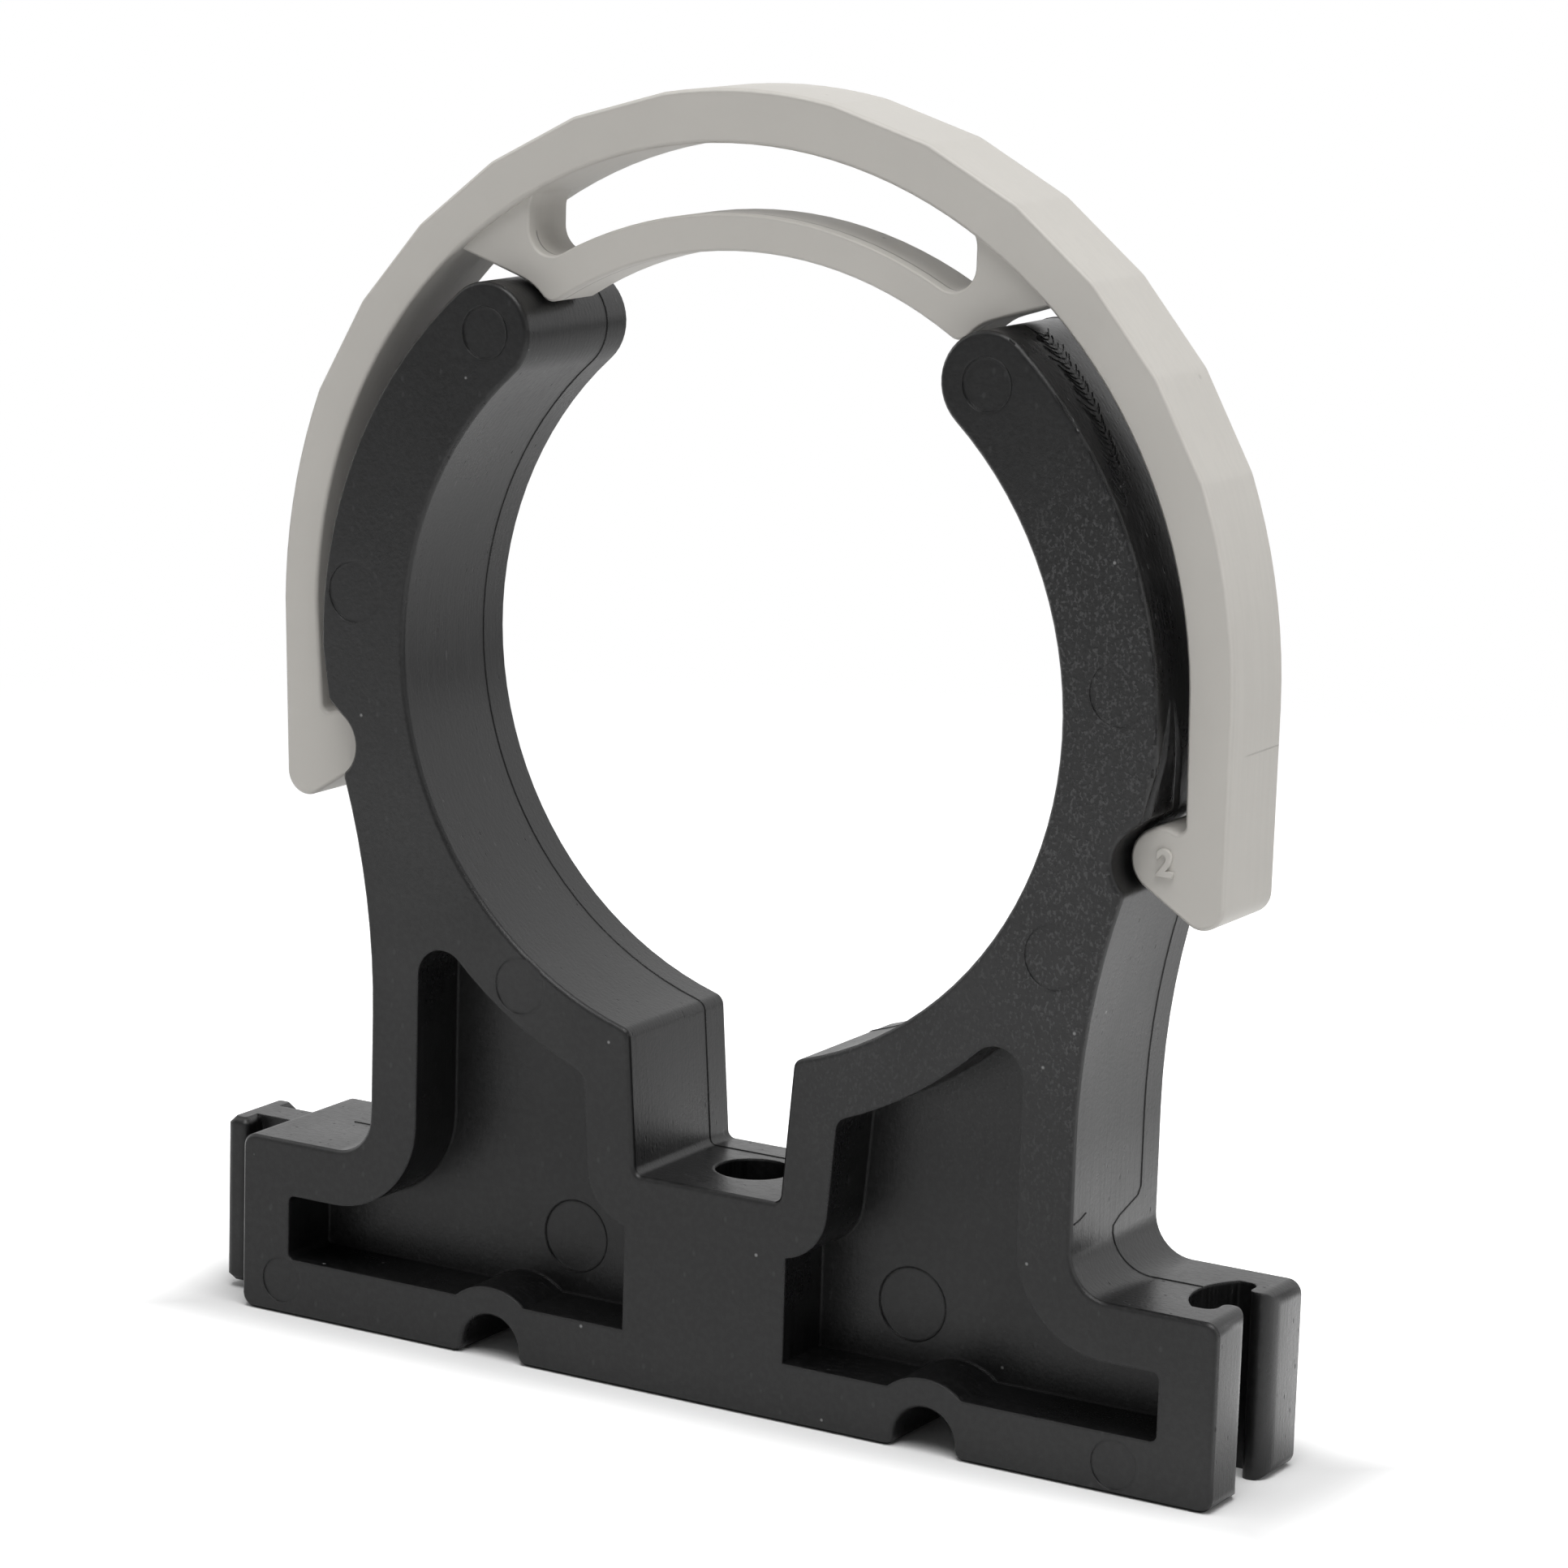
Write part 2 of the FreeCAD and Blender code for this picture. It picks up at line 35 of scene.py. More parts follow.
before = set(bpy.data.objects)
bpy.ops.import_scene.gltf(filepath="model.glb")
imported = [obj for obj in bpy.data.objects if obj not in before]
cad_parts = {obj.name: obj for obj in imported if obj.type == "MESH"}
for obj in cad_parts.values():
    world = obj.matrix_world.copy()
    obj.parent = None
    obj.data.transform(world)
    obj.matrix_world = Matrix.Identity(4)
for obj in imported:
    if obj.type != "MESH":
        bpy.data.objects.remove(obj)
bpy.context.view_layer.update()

MM = 0.001

# The camera, fitted to the photograph's frame of 1932 by 1932 pixels
FRAME_PIXELS = 1932
FOCAL_PIXELS = 6585.258
CAMERA_AZIMUTH = 30.585
CAMERA_ELEVATION = 11.546
CAMERA_ROLL = 1.719
CAMERA_DISTANCE = 439.801 * MM
CAMERA_TARGET = Vector((1.787, 0, 51.746)) * MM
SENSOR_MM = 36.0

# Places on the two mouldings in millimetres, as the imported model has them
AXIS_Z = 61.0
BODY_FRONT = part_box("clip_body")[0].y / MM
STRAP_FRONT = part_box("retaining_strap")[0].y / MM
BORE_R = 31.2
ARM_R = 39.65
LEG_X = 33.95
FOOT_TOP = 15.65
FOOT_FILLET = 3.5
SLOT_FLOOR = 18.6
TIP_X = 23.52
TIP_Z = 87.49
WEB_FRONT = -1.65
JOINT_Y = 4.4            # where the two halves of the body's mould meet

# Colours as the shaders take them
BODY_COLOUR = (0.0035, 0.0035, 0.0037)
STRAP_COLOUR = (0.56, 0.54, 0.505)
FLECK_COLOUR = (0.05, 0.05, 0.051)
SPECK_COLOUR = (0.25, 0.25, 0.25)
MOTTLE_COLOUR = (0.016, 0.016, 0.0165)
DRAG_COLOUR = (0.018, 0.018, 0.0185)
PIT_COLOUR = (0.0015, 0.0015, 0.0015)
# the strap's pits, and the painted shade along the groove of its mould joint
STRAP_PIT_AND_GROOVE_SHADE_COLOUR = (0.3, 0.29, 0.27)

# Both plastics' bump, and the body's edges, which the shading rounds
BUMP_DEPTH = 0.08 * MM
BODY_EDGE_SOFTNESS = 0.35 * MM
BODY_EDGE_RAYS = 3

# How far a normal points along the pipe on a side at most, and on an end face at least
SIDE_TO_END = (0.7, 0.95)

# Where the halves of the strap's mould met: round the window's inside and across the right leg
STRAP_INNER_R = 41.0
STRAP_WINDOW_LOW = 88.0
STRAP_WINDOW_JOINT_Y = -3.25
STRAP_LEG_SIDE_X = 43.5
STRAP_LEG_JOINT_Z = 59.93


def new_object(name, mesh, material):
    thing = bpy.data.objects.new(name, mesh)
    bpy.context.scene.collection.objects.link(thing)
    thing.data.materials.clear()
    thing.data.materials.append(material)
    return thing


# Materials

def new_group(name, inputs, outputs):
    """An empty shader node group with named sockets: {name: (type, default)}."""
    group = bpy.data.node_groups.new(name, "ShaderNodeTree")
    for label, (kind, value) in inputs.items():
        socket = group.interface.new_socket(name=label, in_out="INPUT", socket_type=kind)
        if value is not None:
            socket.default_value = value
    for label, kind in outputs.items():
        group.interface.new_socket(name=label, in_out="OUTPUT", socket_type=kind)
    return group, group.nodes.new("NodeGroupInput"), group.nodes.new("NodeGroupOutput")


FLOAT = "NodeSocketFloat"
VECTOR = "NodeSocketVector"


def math_node(tree, operation, first, second, clamp=False):
    node = tree.nodes.new("ShaderNodeMath")
    node.operation = operation
    node.use_clamp = clamp
    for index, value in enumerate((first, second)):
        if hasattr(value, "is_linked"):
            tree.links.new(value, node.inputs[index])
        else:
            node.inputs[index].default_value = value
    return node.outputs[0]


def noise(tree, coordinates, scale, detail):
    node = tree.nodes.new("ShaderNodeTexNoise")
    node.inputs["Scale"].default_value = scale
    node.inputs["Detail"].default_value = detail
    tree.links.new(coordinates, node.inputs["Vector"])
    return node.outputs["Fac"]


def vector_node(tree, operation, first, second):
    node = tree.nodes.new("ShaderNodeVectorMath")
    node.operation = operation
    for index, value in enumerate((first, second)):
        if hasattr(value, "is_linked"):
            tree.links.new(value, node.inputs[index])
        elif value is not None:
            node.inputs[index].default_value = value
    return node.outputs["Value" if operation == "LENGTH" else "Vector"]


def soft_step(tree, value, low, high):
    """0 below low and 1 above high, smoothly; a low above high turns it round."""
    node = tree.nodes.new("ShaderNodeMapRange")
    node.interpolation_type = "SMOOTHSTEP"
    tree.links.new(value, node.inputs["Value"])
    for label, limit in (("From Min", low), ("From Max", high)):
        if hasattr(limit, "is_linked"):
            tree.links.new(limit, node.inputs[label])
        else:
            node.inputs[label].default_value = limit
    return node.outputs["Result"]


def place_group(tree, group, **values):
    """One use of a node group, with its own values. An underscore stands for a space."""
    node = tree.nodes.new("ShaderNodeGroup")
    node.node_tree = group
    for label, value in values.items():
        socket = node.inputs[label.replace("_", " ")]
        if hasattr(value, "is_linked"):
            tree.links.new(value, socket)
        else:
            socket.default_value = value
    return node.outputs[0]


def make_streaks():
    """Soft patches of noise, drawn out into lines along an axis whose stretch is small."""
    group, given, result = new_group("streaks", {
        "Place": (VECTOR, None), "Stretch": (VECTOR, (1, 1, 1)), "Scale": (FLOAT, 1),
        "From": (FLOAT, 0.4), "To": (FLOAT, 0.6)}, {"Mask": FLOAT})
    stretched = vector_node(group, "MULTIPLY", given.outputs["Place"], given.outputs["Stretch"])
    pattern = noise(group, stretched, 1.0, 2.0)
    group.links.new(given.outputs["Scale"], pattern.node.inputs["Scale"])
    mask = soft_step(group, pattern, given.outputs["From"], given.outputs["To"])
    group.links.new(mask, result.inputs["Mask"])
    return group


def make_flecks():
    """Scattered specks: one in some of the cells, each of its own strength."""
    group, given, result = new_group("flecks", {
        "Place": (VECTOR, None), "Stretch": (VECTOR, (1, 1, 1)), "Scale": (FLOAT, 1),
        "Size": (FLOAT, 0.3), "Share": (FLOAT, 0.3)}, {"Mask": FLOAT})
    stretched = vector_node(group, "MULTIPLY", given.outputs["Place"], given.outputs["Stretch"])
    cells = group.nodes.new("ShaderNodeTexVoronoi")
    group.links.new(stretched, cells.inputs["Vector"])
    group.links.new(given.outputs["Scale"], cells.inputs["Scale"])
    parts = group.nodes.new("ShaderNodeSeparateColor")
    group.links.new(cells.outputs["Color"], parts.inputs["Color"])
    core = math_node(group, "MULTIPLY", given.outputs["Size"], 0.3)
    speck = soft_step(group, cells.outputs["Distance"], given.outputs["Size"], core)
    chosen = math_node(group, "LESS_THAN", parts.outputs["Red"], given.outputs["Share"])
    strength = math_node(group, "MULTIPLY", parts.outputs["Green"], chosen)
    group.links.new(math_node(group, "MULTIPLY", speck, strength), result.inputs["Mask"])
    return group


def make_thin_line():
    """A thin line where a value passes a given place."""
    group, given, result = new_group("thin_line", {
        "Value": (FLOAT, 0), "Place": (FLOAT, 0), "Half width": (FLOAT, 0.1)}, {"Mask": FLOAT})
    off = math_node(group, "SUBTRACT", given.outputs["Value"], given.outputs["Place"])
    off = math_node(group, "ABSOLUTE", off, 0)
    core = math_node(group, "MULTIPLY", given.outputs["Half width"], 0.3)
    mask = soft_step(group, off, given.outputs["Half width"], core)
    group.links.new(mask, result.inputs["Mask"])
    return group


def make_patch():
    """A soft oval region about a centre."""
    group, given, result = new_group("patch", {
        "Place": (VECTOR, None), "Centre": (VECTOR, (0, 0, 0)), "Reach": (VECTOR, (1, 1, 1))},
        {"Mask": FLOAT})
    off = vector_node(group, "SUBTRACT", given.outputs["Place"], given.outputs["Centre"])
    off = vector_node(group, "DIVIDE", off, given.outputs["Reach"])
    away = vector_node(group, "LENGTH", off, None)
    group.links.new(soft_step(group, away, 1.0, 0.55), result.inputs["Mask"])
    return group


def make_moulded_skin():
    """The fine uneven skin of a moulding: small grain on broader sink and flow."""
    group, given, result = new_group("moulded_skin", {
        "Place": (VECTOR, None), "Grain": (FLOAT, 3), "Flow": (FLOAT, 0.25)}, {"Height": FLOAT})
    fine = noise(group, given.outputs["Place"], 1.0, 3.0)
    group.links.new(given.outputs["Grain"], fine.node.inputs["Scale"])
    broad = noise(group, given.outputs["Place"], 1.0, 1.0)
    group.links.new(given.outputs["Flow"], broad.node.inputs["Scale"])
    height = math_node(group, "MULTIPLY_ADD", broad, 1.5)
    group.links.new(fine, height.node.inputs[2])
    group.links.new(height, result.inputs["Height"])
    return group


STREAKS = make_streaks()
FLECKS = make_flecks()
THIN_LINE = make_thin_line()
PATCH = make_patch()
MOULDED_SKIN = make_moulded_skin()


def plastic(name, colour, roughness, specular):
    """A moulded plastic with its shader, and its place on the moulding in millimetres."""
    material = bpy.data.materials.new(name)
    material.use_nodes = True
    tree = material.node_tree
    shader = tree.nodes["Principled BSDF"]
    shader.inputs["Base Color"].default_value = (*colour, 1)
    shader.inputs["Roughness"].default_value = roughness
    shader.inputs["Specular IOR Level"].default_value = specular
    coordinates = tree.nodes.new("ShaderNodeTexCoord")
    place = vector_node(tree, "MULTIPLY", coordinates.outputs["Object"], (1 / MM, 1 / MM, 1 / MM))
    facing = tree.nodes.new("ShaderNodeSeparateXYZ")
    tree.links.new(coordinates.outputs["Normal"], facing.inputs[0])
    end_face = math_node(tree, "ABSOLUTE", facing.outputs["Y"], 0)
    end_face = soft_step(tree, end_face, *SIDE_TO_END)
    return material, tree, shader, place, end_face


def total(tree, *masks):
    """The sum of some masks, each with its weight: (mask, weight)."""
    result = None
    for mask, weight in masks:
        part = math_node(tree, "MULTIPLY", mask, weight)
        result = part if result is None else math_node(tree, "ADD", result, part)
    return result


def both(tree, first, second):
    return math_node(tree, "MULTIPLY", first, second)


def opposite(tree, mask):
    return math_node(tree, "SUBTRACT", 1.0, mask)


def tinted(tree, colour, layers):
    """A colour with others laid over it: (mask, colour)."""
    previous = None
    for mask, other in layers:
        mix = tree.nodes.new("ShaderNodeMix")
        mix.data_type = "RGBA"
        if previous is None:
            mix.inputs[6].default_value = (*colour, 1)
        else:
            tree.links.new(previous, mix.inputs[6])
        mix.inputs[7].default_value = (*other, 1)
        clamped = math_node(tree, "MULTIPLY", mask, 1.0, clamp=True)
        tree.links.new(clamped, mix.inputs[0])
        previous = mix.outputs[2]
    return previous


def uneven(tree, shader, height):
    """Gives a shader its bump, and returns the bump node."""
    bump = tree.nodes.new("ShaderNodeBump")
    bump.inputs["Strength"].default_value = 1.0
    bump.inputs["Distance"].default_value = BUMP_DEPTH
    tree.links.new(height, bump.inputs["Height"])
    tree.links.new(bump.outputs["Normal"], shader.inputs["Normal"])
    return bump


def black_plastic():
    material, tree, shader, place, end_face = plastic(
        "black_moulded_plastic", BODY_COLOUR, 0.4, 0.46)
    side_face = opposite(tree, end_face)
    skin = place_group(tree, MOULDED_SKIN, Place=place, Grain=3.2, Flow=0.12)

    # On the end faces: light flecks over a faint mottle, thick on the right arm, thinner on
    # the leg below it and scattered elsewhere. A few bright specks are all over.
    arm = place_group(tree, PATCH, Place=place, Centre=(35, -8, 57), Reach=(13, 6, 33))
    leg = place_group(tree, PATCH, Place=place, Centre=(24, -6, 38), Reach=(22, 9, 26))
    grain = place_group(tree, STREAKS, Place=place, Stretch=(1.2, 1.0, 0.9), Scale=3.2,
                        From=0.5, To=0.7)
    upright = place_group(tree, FLECKS, Place=place, Stretch=(1.4, 1.0, 0.8), Scale=1.5,
                          Size=0.3, Share=0.5)
    thick = total(tree, (grain, 0.8), (upright, 0.6))
    thin = place_group(tree, FLECKS, Place=place, Stretch=(1.3, 1.0, 0.8), Scale=0.8,
                       Size=0.24, Share=0.22)
    specks = place_group(tree, FLECKS, Place=place, Stretch=(1.0, 1.0, 1.0), Scale=0.3,
                         Size=0.06, Share=0.6)
    light = total(tree, (both(tree, thick, arm), 1.0), (both(tree, thick, leg), 0.45),
                  (thin, 0.3))
    light = both(tree, light, end_face)
    mottle = place_group(tree, STREAKS, Place=place, Stretch=(1.0, 1.0, 1.0), Scale=1.7,
                         From=0.38, To=0.66)
    mottle = both(tree, mottle, end_face)

    # On the sides: drag marks along the arms, small pits and short light scratches
    drag = place_group(tree, STREAKS, Place=place, Stretch=(1.0, 3.2, 0.12), Scale=1.1,
                       From=0.42, To=0.68)
    drag = both(tree, drag, side_face)
    pits = place_group(tree, FLECKS, Place=place, Stretch=(1.0, 1.6, 0.6), Scale=1.1,
                       Size=0.2, Share=0.28)
    pits = both(tree, pits, side_face)
    dashes = place_group(tree, FLECKS, Place=place, Stretch=(1.0, 1.3, 0.4), Scale=0.7,
                         Size=0.16, Share=0.3)
    dashes = both(tree, dashes, side_face)

    colour = tinted(tree, BODY_COLOUR, [
        (total(tree, (mottle, 0.3)), MOTTLE_COLOUR),
        (light, FLECK_COLOUR),
        (total(tree, (specks, 1.2)), SPECK_COLOUR),
        (total(tree, (drag, 0.3)), DRAG_COLOUR),
        (total(tree, (dashes, 0.8)), FLECK_COLOUR),
        (total(tree, (pits, 1.3)), PIT_COLOUR),
    ])
    tree.links.new(colour, shader.inputs["Base Color"])
    rough = total(tree, (end_face, 0.1), (skin, 0.09), (light, 0.12),
                  (drag, 0.06), (pits, 0.3))
    tree.links.new(math_node(tree, "ADD", rough, 0.18), shader.inputs["Roughness"])
    height = total(tree, (skin, 0.2), (light, 0.25), (pits, -0.5), (drag, 0.04))
    bump = uneven(tree, shader, height)
    rounded = tree.nodes.new("ShaderNodeBevel")
    rounded.samples = BODY_EDGE_RAYS
    rounded.inputs["Radius"].default_value = BODY_EDGE_SOFTNESS
    tree.links.new(rounded.outputs["Normal"], bump.inputs["Normal"])
    return material


def grey_plastic():
    material, tree, shader, place, end_face = plastic(
        "grey_moulded_plastic", STRAP_COLOUR, 0.48, 0.4)
    side_face = opposite(tree, end_face)
    skin = place_group(tree, MOULDED_SKIN, Place=place, Grain=2.2, Flow=0.14)
    clouds = place_group(tree, STREAKS, Place=place, Stretch=(1.0, 1.0, 1.0), Scale=0.11,
                         From=0.3, To=0.7)
    drag = place_group(tree, STREAKS, Place=place, Stretch=(1.0, 2.6, 0.06), Scale=0.9,
                       From=0.45, To=0.62)
    drag = both(tree, drag, side_face)
    pits = place_group(tree, FLECKS, Place=place, Stretch=(1.0, 1.0, 1.0), Scale=0.22,
                       Size=0.06, Share=0.4)

    # Where the halves of the strap's mould met: a thin groove, given in the bump, whose shade is
    # painted into the colour as a darker line
    split = tree.nodes.new("ShaderNodeSeparateXYZ")
    tree.links.new(place, split.inputs[0])
    from_axis = vector_node(tree, "SUBTRACT", place, (0, 0, AXIS_Z))
    from_axis = vector_node(tree, "MULTIPLY", from_axis, (1, 0, 1))
    from_axis = vector_node(tree, "LENGTH", from_axis, None)
    inside = soft_step(tree, from_axis, STRAP_INNER_R, STRAP_INNER_R - 0.3)
    high = soft_step(tree, split.outputs["Z"], STRAP_WINDOW_LOW, STRAP_WINDOW_LOW + 1)
    window_line = place_group(tree, THIN_LINE, Value=split.outputs["Y"],
                              Place=STRAP_WINDOW_JOINT_Y, Half_width=0.13)
    window_line = both(tree, both(tree, window_line, side_face), both(tree, inside, high))
    right_side = soft_step(tree, split.outputs["X"], STRAP_LEG_SIDE_X, STRAP_LEG_SIDE_X + 0.7)
    behind = soft_step(tree, split.outputs["Y"], -3.2, -1.8)
    leg_line = place_group(tree, THIN_LINE, Value=split.outputs["Z"],
                           Place=STRAP_LEG_JOINT_Z, Half_width=0.09)
    leg_line = both(tree, both(tree, leg_line, side_face), both(tree, right_side, behind))

    colour = tinted(tree, STRAP_COLOUR, [
        (total(tree, (clouds, 0.5)), tuple(0.95 * part for part in STRAP_COLOUR)),
        (total(tree, (drag, 0.4)), tuple(0.93 * part for part in STRAP_COLOUR)),
        # painted shade along the joint's groove
        (total(tree, (window_line, 0.9), (leg_line, 0.5)), STRAP_PIT_AND_GROOVE_SHADE_COLOUR),
        (total(tree, (pits, 0.9)), STRAP_PIT_AND_GROOVE_SHADE_COLOUR),
    ])
    tree.links.new(colour, shader.inputs["Base Color"])
    rough = total(tree, (skin, 0.08), (drag, -0.05), (window_line, 0.2))
    tree.links.new(math_node(tree, "ADD", rough, 0.42), shader.inputs["Roughness"])
    height = total(tree, (skin, 0.05), (drag, 0.06), (window_line, -0.6), (leg_line, -0.5),
                   (pits, -0.5))
    uneven(tree, shader, height)
    return material


# The two mouldings

SHARP_DEGREES = 50       # an edge that turns more than this stays sharp in the shading
FLAT_DEGREES = 0.2       # faces that turn less than this from one another are joined
MERGE = 0.0005 * MM

# The two creases that spread down the right arm's side to the notch: where they start, and
# at their lower end the deepest point and the half width of what is cut away
CREASE_TOP = (39.7, -5.2, 65.5)
CREASE_DEEP_X = 38.2
CREASE_OUT_X = 40.6
CREASE_END_Z = 54.5
CREASE_END_Y = (-7.35, -2.35)
CREASE_HALF = 1.7


def crease_cutter():
    """Two slim wedges that share their upper point."""
    cutter = bmesh.new()
    for end_y in CREASE_END_Y:
        corners = [CREASE_TOP, (CREASE_DEEP_X, end_y, CREASE_END_Z),
                   (CREASE_OUT_X, end_y - CREASE_HALF, CREASE_END_Z),
                   (CREASE_OUT_X, end_y + CREASE_HALF, CREASE_END_Z)]
        points = [cutter.verts.new(Vector(corner) * MM) for corner in corners]
        for face in ((0, 1, 2), (0, 2, 3), (0, 3, 1), (1, 3, 2)):
            cutter.faces.new([points[index] for index in face])
    bmesh.ops.recalc_face_normals(cutter, faces=cutter.faces)
    mesh = bpy.data.meshes.new("crease_cutter")
    cutter.to_mesh(mesh)
    cutter.free()
    return mesh


def merged_copy(node):
    """A copy of a CAD node's mesh with its loose triangles joined."""
    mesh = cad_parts[node].data.copy()
    shell = bmesh.new()
    shell.from_mesh(mesh)
    bmesh.ops.remove_doubles(shell, verts=shell.verts, dist=MERGE)
    shell.to_mesh(mesh)
    shell.free()
    return mesh


def cut_away(mesh, cutter_mesh):
    """The mesh less what a cutter takes."""
    block = bpy.data.objects.new("uncut", mesh)
    cutter = bpy.data.objects.new("cutter", cutter_mesh)
    for thing in (block, cutter):
        bpy.context.scene.collection.objects.link(thing)
    cut = block.modifiers.new("cut", "BOOLEAN")
    cut.operation = "DIFFERENCE"
    cut.solver = "EXACT"
    cut.use_self = True
    cut.object = cutter
    seen = block.evaluated_get(bpy.context.evaluated_depsgraph_get())
    result = bpy.data.meshes.new_from_object(seen)
    for thing in (block, cutter):
        bpy.data.objects.remove(thing)
    return result


def finished_moulding(mesh, node, name, body, material):
    """A moulding as one closed mesh whose narrow bevels shade as rounded edges."""
    shell = bmesh.new()
    shell.from_mesh(mesh)
    bmesh.ops.dissolve_limit(shell, angle_limit=math.radians(FLAT_DEGREES),
                             use_dissolve_boundaries=False, verts=shell.verts,
                             edges=shell.edges, delimit={"NORMAL"})
    for face in shell.faces:
        face.smooth = True
    for edge in shell.edges:
        edge.smooth = edge.calc_face_angle(0) < math.radians(SHARP_DEGREES)
    shell.to_mesh(mesh)
    shell.free()
    moulding = new_object(name, mesh, material)
    weighted = moulding.modifiers.new("broad faces stay flat", "WEIGHTED_NORMAL")
    weighted.mode = "FACE_AREA"
    weighted.keep_sharp = True
    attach(moulding, body)
    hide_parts(node)


# Small raised detail, in millimetres

JOINT_BEAD = 0.075
FLASH_BEAD = 0.085
RIPPLE_BEAD = 0.05
RIM_BEAD = 0.06
FINE_SIDES = 6           # sides of a fine bead's section
RIM_STEPS = 64


def geometry_tree(name, inputs):
    """A geometry tree with named inputs beside its geometry: {name: (type, default)}."""
    tree = bpy.data.node_groups.new(name, "GeometryNodeTree")
    tree.interface.new_socket(name="Geometry", in_out="INPUT", socket_type="NodeSocketGeometry")
    for label, (kind, value) in inputs.items():
        socket = tree.interface.new_socket(name=label, in_out="INPUT", socket_type=kind)
        if value is not None:
            socket.default_value = value
    tree.interface.new_socket(name="Geometry", in_out="OUTPUT", socket_type="NodeSocketGeometry")
    return tree, tree.nodes.new("NodeGroupInput"), tree.nodes.new("NodeGroupOutput")


def beaded(tree, given, curve):
    """Runs a round bead along a curve and ends the tree with it."""
    section = tree.nodes.new("GeometryNodeCurvePrimitiveCircle")
    tree.links.new(given.outputs["Sides"], section.inputs["Resolution"])
    tree.links.new(given.outputs["Bead radius"], section.inputs["Radius"])
    bead = tree.nodes.new("GeometryNodeCurveToMesh")
    bead.inputs["Fill Caps"].default_value = True
    tree.links.new(curve, bead.inputs["Curve"])
    tree.links.new(section.outputs["Curve"], bead.inputs["Profile Curve"])
    realize = tree.nodes.new("GeometryNodeRealizeInstances")
    tree.links.new(bead.outputs["Mesh"], realize.inputs["Geometry"])
    paint = tree.nodes.new("GeometryNodeSetMaterial")
    tree.links.new(realize.outputs["Geometry"], paint.inputs["Geometry"])
    tree.links.new(given.outputs["Material"], paint.inputs["Material"])
    return paint.outputs["Geometry"]


BEAD_INPUTS = {"Bead radius": (FLOAT, JOINT_BEAD * MM), "Sides": ("NodeSocketInt", 8),
               "Material": ("NodeSocketMaterial", None)}


def make_line_tree():
    """A bead along every line of the base mesh."""
    tree, given, result = geometry_tree("bead_along_lines", BEAD_INPUTS)
    curve = tree.nodes.new("GeometryNodeMeshToCurve")
    tree.links.new(given.outputs["Geometry"], curve.inputs["Mesh"])
    tree.links.new(beaded(tree, given, curve.outputs["Curve"]), result.inputs["Geometry"])
    return tree


def make_rim_tree():
    """A ring at every point, as wide as the point's rim attribute says."""
    tree, given, result = geometry_tree("rims_at_points", BEAD_INPUTS)
    ring = tree.nodes.new("GeometryNodeCurvePrimitiveCircle")
    ring.inputs["Radius"].default_value = 1.0
    ring.inputs["Resolution"].default_value = RIM_STEPS
    rim = tree.nodes.new("GeometryNodeInputNamedAttribute")
    rim.data_type = "FLOAT"
    rim.inputs["Name"].default_value = "rim"
    spread = tree.nodes.new("GeometryNodeInstanceOnPoints")
    spread.inputs["Rotation"].default_value = (math.pi / 2, 0, 0)
    tree.links.new(given.outputs["Geometry"], spread.inputs["Points"])
    tree.links.new(ring.outputs["Curve"], spread.inputs["Instance"])
    tree.links.new(rim.outputs["Attribute"], spread.inputs["Scale"])
    loops = tree.nodes.new("GeometryNodeRealizeInstances")
    tree.links.new(spread.outputs["Instances"], loops.inputs["Geometry"])
    tree.links.new(beaded(tree, given, loops.outputs["Geometry"]), result.inputs["Geometry"])
    return tree


def grown(name, base, tree, values, material, body):
    """Runs a geometry tree on a base mesh and keeps the result as a plain piece."""
    holder = bpy.data.objects.new(name + "_base", base)
    bpy.context.scene.collection.objects.link(holder)
    modifier = holder.modifiers.new(tree.name, "NODES")
    modifier.node_group = tree
    values = {**values, "Material": material}
    for socket in tree.interface.items_tree:
        if socket.in_out == "INPUT" and socket.name in values:
            modifier[socket.identifier] = values[socket.name]
    seen = holder.evaluated_get(bpy.context.evaluated_depsgraph_get())
    mesh = bpy.data.meshes.new_from_object(seen)
    holder.modifiers.remove(modifier)
    bpy.data.objects.remove(holder)
    for face in mesh.polygons:
        face.use_smooth = True
    piece = new_object(name, mesh, material)
    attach(piece, body)


def line_mesh(name, lines):
    """Separate polylines, in millimetres, as one mesh of edges."""
    points = []
    edges = []
    for line in lines:
        start = len(points)
        points += [Vector(point) * MM for point in line]
        edges += [(start + step, start + step + 1) for step in range(len(line) - 1)]
    mesh = bpy.data.meshes.new(name)
    mesh.from_pydata(points, edges, [])
    return mesh


# The joint's way down a leg: it leaves its plane, crosses the leg between these heights, and
# goes down the fillet and out along the foot's top
JOG_TOP = 22.0
JOG_LOW = 19.7
JOG_Y = -0.3
FOOT_JOINT_Y = 1.0
FOOT_JOINT_LENGTH = 7.6
FILLET_STEPS = 9

# What the joint's outline leaves out of the body's section
LEG_FROM = 20            # an edge of the section farther across is on a leg or an arm
POCKET_FROM = 11
POCKET_TOP = 40
LEG_WALL = 4             # a pocket stays this far from the leg's outside
BORE_WALL = 2            # and this far from the bore


